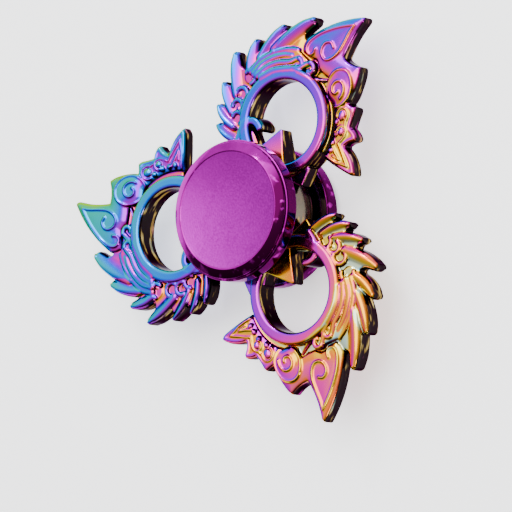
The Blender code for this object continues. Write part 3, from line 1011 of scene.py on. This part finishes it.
# The dye's darker end as a share of its colour. The dye is painted darker towards +Y as shade, and sides
# that lean to +X and to -Y take painted shade.
DEEP_SHARE = 0.62
PAINTED_SHADE_PER_Y = -14.0
SIDE_SHADE_LEAN_X = -0.8
SIDE_SHADE_LEAN_Y = 0.5
SIDE_SHADE_LIMITS = (0.74, 1.0)
PAINTED_GLINT_LIMITS = (0.56, 0.66)
TURNING_SHARE = 0.12


def anodised(name, colour, shaded_side_colour, roughness, grain_depth, grain_scale, painted_glint_share):
    """Dyed aluminium: fine grain, faint turning marks, an uneven dye painted darker towards +Y as shade, and
    sides darkened as painted shade, with painted glints.
    """
    shader = Shader(name, Metallic=1.0, Specular_Tint=(0.9, 0.5, 0.9, 1))
    coordinates = shader.node("ShaderNodeTexCoord").outputs
    place = coordinates["Object"]
    at = shader.axes(place)
    facing = shader.axes(coordinates["Normal"])
    grain = shader.noise(place, grain_scale, 3.0)
    shade = shader.math("MULTIPLY_ADD", shader.noise(place, 160.0, 2.0), 0.5, grain)
    # Painted shade: the dye is darker towards +Y.
    shade = shader.math("MULTIPLY_ADD", at["Y"], PAINTED_SHADE_PER_Y, shade)
    deep = tuple(value * DEEP_SHARE for value in colour)
    dye_and_shade = shader.ramp(shade, ((0.45, deep), (1.0, colour)))
    # Painted shade on sides that lean to +X and to -Y, in the shaded side colour.
    side = shader.math("MULTIPLY_ADD", facing["X"], SIDE_SHADE_LEAN_X, shader.math("ABSOLUTE", facing["Z"]))
    side = shader.math("MULTIPLY_ADD", facing["Y"], SIDE_SHADE_LEAN_Y, side)
    # Painted glints: noise spots that bring the dye's colour back onto the shaded sides.
    painted_glint = shader.scaled(shader.noise(place, 650.0, 2.0), *PAINTED_GLINT_LIMITS, 0.0, painted_glint_share)
    edge = shader.mix(painted_glint, (*shaded_side_colour, 1), (*colour, 1))
    shader.link(shader.mix(shader.scaled(side, *SIDE_SHADE_LIMITS), edge, dye_and_shade), "Base Color")
    shader.link(shader.scaled(grain, *GRAIN_LIMITS, roughness * 0.85, roughness * 1.15), "Roughness")
    turning = shader.node(
        "ShaderNodeTexWave",
        {"Vector": place, "Scale": 900.0, "Distortion": 0.4},
        wave_type="RINGS",
        rings_direction="Z",
    )
    height = shader.math("MULTIPLY_ADD", turning.outputs["Fac"], TURNING_SHARE, grain)
    shader.bumpy(height, grain_depth, 0.00006)
    return shader.material


def plain_metal(name, colour, roughness):
    """A metal with fine grain in its roughness and its colour."""
    shader = Shader(name, Metallic=1.0, Base_Color=(*colour, 1))
    grain = shader.noise(shader.node("ShaderNodeTexCoord").outputs["Object"], 600.0, 3.0)
    shader.link(shader.scaled(grain, *GRAIN_LIMITS, roughness * 0.8, roughness * 1.25), "Roughness")
    darker = tuple(value * 0.9 for value in colour)
    shader.link(shader.ramp(grain, ((0.3, darker), (0.7, colour))), "Base Color")
    return shader.material


def dress_cad_nodes():
    """Gives each node that keeps its CAD mesh the metal whose key is the longest start of its name."""
    steel = plain_metal("bearing_steel", srgb(205, 206, 210), 0.22)
    balls = plain_metal("ball_steel", srgb(225, 226, 230), 0.08)
    brass = plain_metal("cage_brass", srgb(205, 170, 100), 0.3)
    screw = plain_metal("screw_steel", srgb(90, 90, 96), 0.35)
    finishes = {"bearing": steel, "ball_cage": brass, "ball": balls, "centre": screw}
    finishes.update({"front_washer": screw, "rear_washer": screw})
    for name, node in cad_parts.items():
        match = [key for key in finishes if name.startswith(key)]
        if match:
            node.data.materials.clear()
            node.data.materials.append(finishes[max(match, key=len)])


# ---------------------------------------------------------------- stage, lights and camera

CAMERA_PLACE = Vector((0.3660, 0.0841, 0.4812))
CAMERA_BACK = Vector((0.5960, 0.1473, 0.7893))
CAMERA_UP = Vector((-0.3571, 0.9291, 0.0963))
CAMERA_LENS = 283.7
SENSOR_WIDTH = 36

FLOOR_SIZE = 6
FLOOR_GLOW = 0.92

# The world's light comes from this side, and falls off between two places along it
WORLD_FROM = (-0.4, 0.6, 0.69)
WORLD_PLACES = (-0.25, 0.82)
WORLD_STRENGTHS = (0.06, 2.1)

# Lamps that face the origin: direction, distance, side length and power
LAMPS = {
    "key": ((-0.1, 0.35, 0.93), 0.6, 0.6, 5),
    "rim": ((0.85, -0.25, 0.47), 0.5, 0.12, 0.5),
    "glint": ((-0.45, 0.6, 0.66), 0.5, 0.05, 0.5),
}


def add_floor():
    """A plain pale floor that glows a little, under the spinner."""
    bpy.ops.mesh.primitive_plane_add(size=FLOOR_SIZE, location=(0, 0, CAD_LOW.z))
    floor = bpy.context.object
    floor.name = "floor"
    shader = Shader("floor", Base_Color=(0.9, 0.9, 0.91, 1), Roughness=0.55)
    shader.principled.inputs["Emission Color"].default_value = (1, 1, 1, 1)
    shader.principled.inputs["Emission Strength"].default_value = FLOOR_GLOW
    floor.data.materials.append(shader.material)


def add_lamp(name, direction, distance, size, power):
    light = bpy.data.lights.new(name, "AREA")
    light.size = size
    light.energy = power
    lamp = bpy.data.objects.new(name, light)
    bpy.context.scene.collection.objects.link(lamp)
    towards = Vector(direction).normalized()
    lamp.location = towards * distance
    lamp.rotation_mode = "QUATERNION"
    lamp.rotation_quaternion = towards.to_track_quat("Z", "Y")


def add_world():
    """Soft light that is strongest from WORLD_FROM and falls off towards the other side."""
    world = bpy.data.worlds.new("studio")
    world.use_nodes = True
    tree = world.node_tree
    place = tree.nodes.new("ShaderNodeTexCoord")
    along = tree.nodes.new("ShaderNodeVectorMath")
    along.operation = "DOT_PRODUCT"
    along.inputs[1].default_value = WORLD_FROM
    tree.links.new(place.outputs["Generated"], along.inputs[0])
    fall = tree.nodes.new("ShaderNodeMapRange")
    tree.links.new(along.outputs["Value"], fall.inputs["Value"])
    for socket, value in enumerate(WORLD_PLACES + WORLD_STRENGTHS, start=1):
        fall.inputs[socket].default_value = value
    background = tree.nodes["Background"]
    background.inputs["Color"].default_value = (0.97, 0.98, 1.0, 1)
    tree.links.new(fall.outputs[0], background.inputs["Strength"])
    bpy.context.scene.world = world


def add_camera():
    """The photograph's viewpoint."""
    data = bpy.data.cameras.new("camera")
    data.sensor_width = SENSOR_WIDTH
    data.lens = CAMERA_LENS
    data.clip_start = 0.01
    camera = bpy.data.objects.new("camera", data)
    bpy.context.scene.collection.objects.link(camera)
    back = CAMERA_BACK.normalized()
    side = CAMERA_UP.cross(back).normalized()
    up = back.cross(side)
    camera.matrix_world = Matrix.Translation(CAMERA_PLACE) @ Matrix((side, up, back)).transposed().to_4x4()
    bpy.context.scene.camera = camera


add_world()
add_floor()
for name, settings in LAMPS.items():
    add_lamp(name, *settings)
add_camera()
dress_cad_nodes()
wing_pieces(rainbow_zinc("rainbow_zinc", WING_WALL_SHADE))
hub_piece(rainbow_zinc("hub_zinc", HUB_WALL))
satin = anodised("satin_purple", **SATIN)
polished = anodised("polished_purple", **POLISHED)
inside = anodised("cap_inside", **CAP_INSIDE)
cap_pieces([satin, polished, inside])
